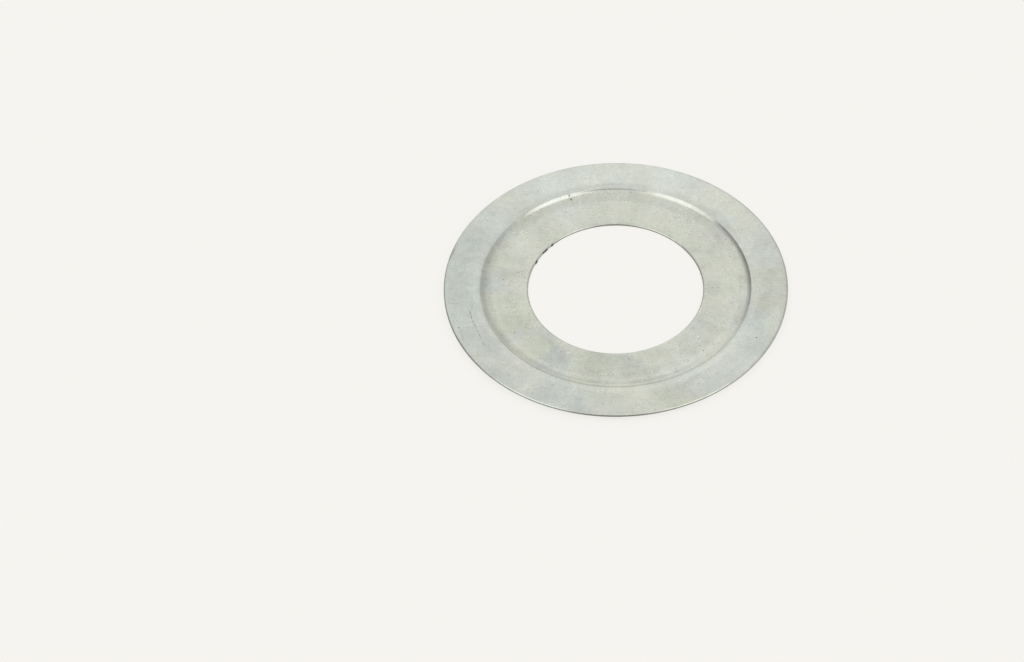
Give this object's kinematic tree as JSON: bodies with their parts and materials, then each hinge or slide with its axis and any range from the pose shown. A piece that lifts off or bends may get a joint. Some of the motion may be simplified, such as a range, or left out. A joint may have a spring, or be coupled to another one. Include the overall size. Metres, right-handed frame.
{
  "type": "cover washer",
  "caption": "Thin pressed steel cover washer: a flat hub round the shaft hole and a shallow step up to a wide flat flange that shields the part behind it.",
  "frame": {"origin": "centre of the shaft hole, on the underside of the hub", "axes": "+Z along the axis of the ring, from the hub towards the raised flange"},
  "size_m": [0.08, 0.08, 0.0015],
  "materials": {
    "zinc_plated_steel": "satin zinc plating with a faint iridescent passivation"
  },
  "bodies": {
    "root": {"cover_washer": "zinc_plated_steel"}
  },
  "joints": []
}
